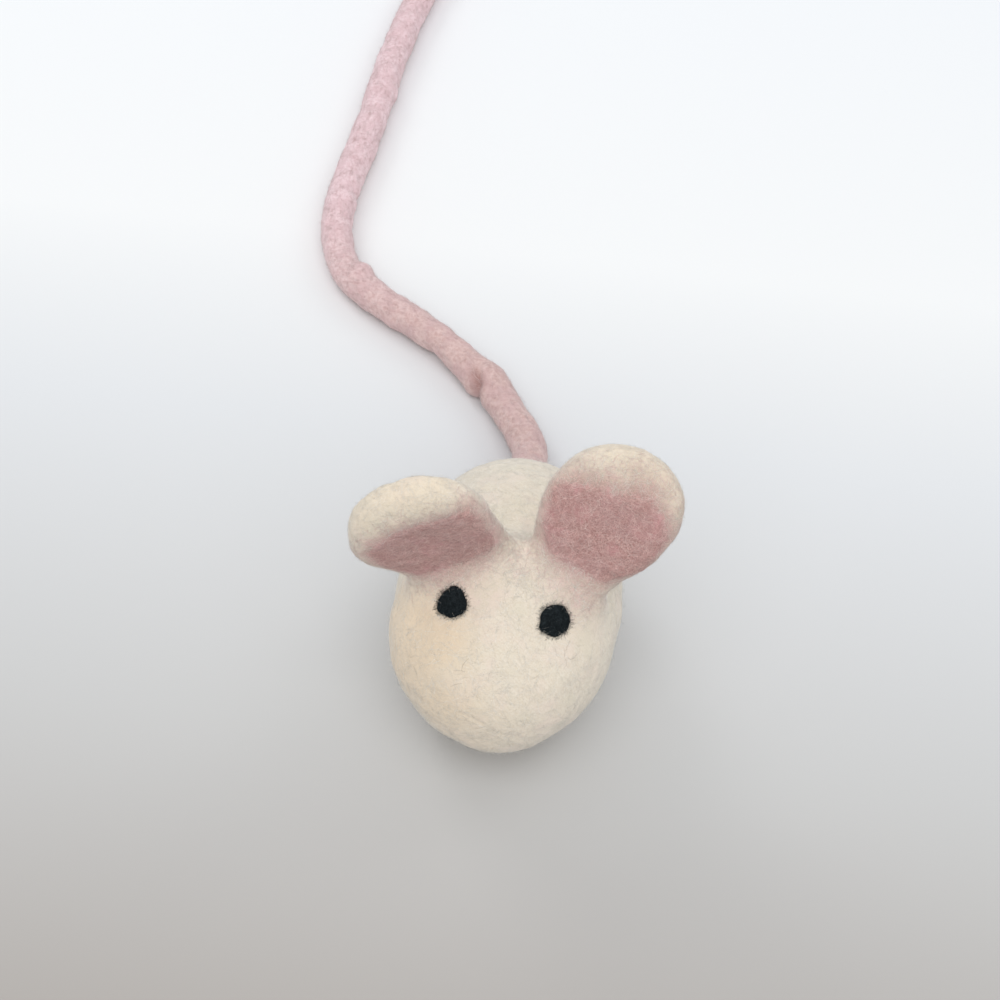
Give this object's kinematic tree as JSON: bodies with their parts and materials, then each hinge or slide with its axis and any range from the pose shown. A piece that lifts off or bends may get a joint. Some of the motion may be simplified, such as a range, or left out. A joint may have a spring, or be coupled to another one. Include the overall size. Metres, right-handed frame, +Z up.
{
  "type": "catnip mouse",
  "caption": "Felted wool cat toy mouse with an egg-shaped catnip body, bendable lined paddle ears, needled eyes and a long loose felt-rope tail.",
  "frame": {"origin": "middle of the flat under the belly, where the mouse rests on the floor", "axes": "+Z up, the nose points to -Y, the mouse's left side is +X"},
  "size_m": [0.085, 0.2781, 0.066],
  "materials": {
    "cream_wool": "felted wool, undyed cream, fuzzy",
    "core_wool": "loosely wound core wool",
    "dried_catnip": "dried crushed leaf",
    "rose_wool": "felted wool, heathered dusty rose, fuzzy",
    "black_wool": "felted wool, black, matte",
    "pink_rope": "rolled felt rope, pale pink, mottled"
  },
  "bodies": {
    "body": {"body_shell": "cream_wool", "core_wool": "core_wool", "catnip_fill": "dried_catnip", "tail_root": "pink_rope", "left_eye": "black_wool", "right_eye": "black_wool"},
    "left_ear_flap": {"left_ear": "cream_wool", "left_ear_lining": "rose_wool"},
    "right_ear_flap": {"right_ear": "cream_wool", "right_ear_lining": "rose_wool"},
    "tail_start": {"tail_base": "pink_rope"},
    "tail_end": {"tail": "pink_rope"}
  },
  "joints": [
    {"name": "left_ear_flex", "type": "hinge", "parent": "body", "child": "left_ear_flap", "pos_m": [0.01016, -0.00934, 0.03977], "axis": [0.8935, -0.155, -0.4216], "range_deg": [-14, 50], "stiffness_Nm_per_rad": 0.015},
    {"name": "right_ear_flex", "type": "hinge", "parent": "body", "child": "right_ear_flap", "pos_m": [-0.01016, -0.00934, 0.03977], "axis": [0.8935, 0.155, 0.4216], "range_deg": [-46, 18], "stiffness_Nm_per_rad": 0.015},
    {"name": "tail_swing", "type": "hinge", "parent": "body", "child": "tail_start", "pos_m": [0, 0.03163, 0.01281], "axis": [0, 0, 1], "range_deg": [-30, 30]},
    {"name": "tail_lift", "type": "hinge", "parent": "tail_start", "child": "tail_end", "pos_m": [-0.01065, 0.0716, 0.00768], "axis": [0.7824, 0.6228, 0], "range_deg": [0, 50]}
  ]
}
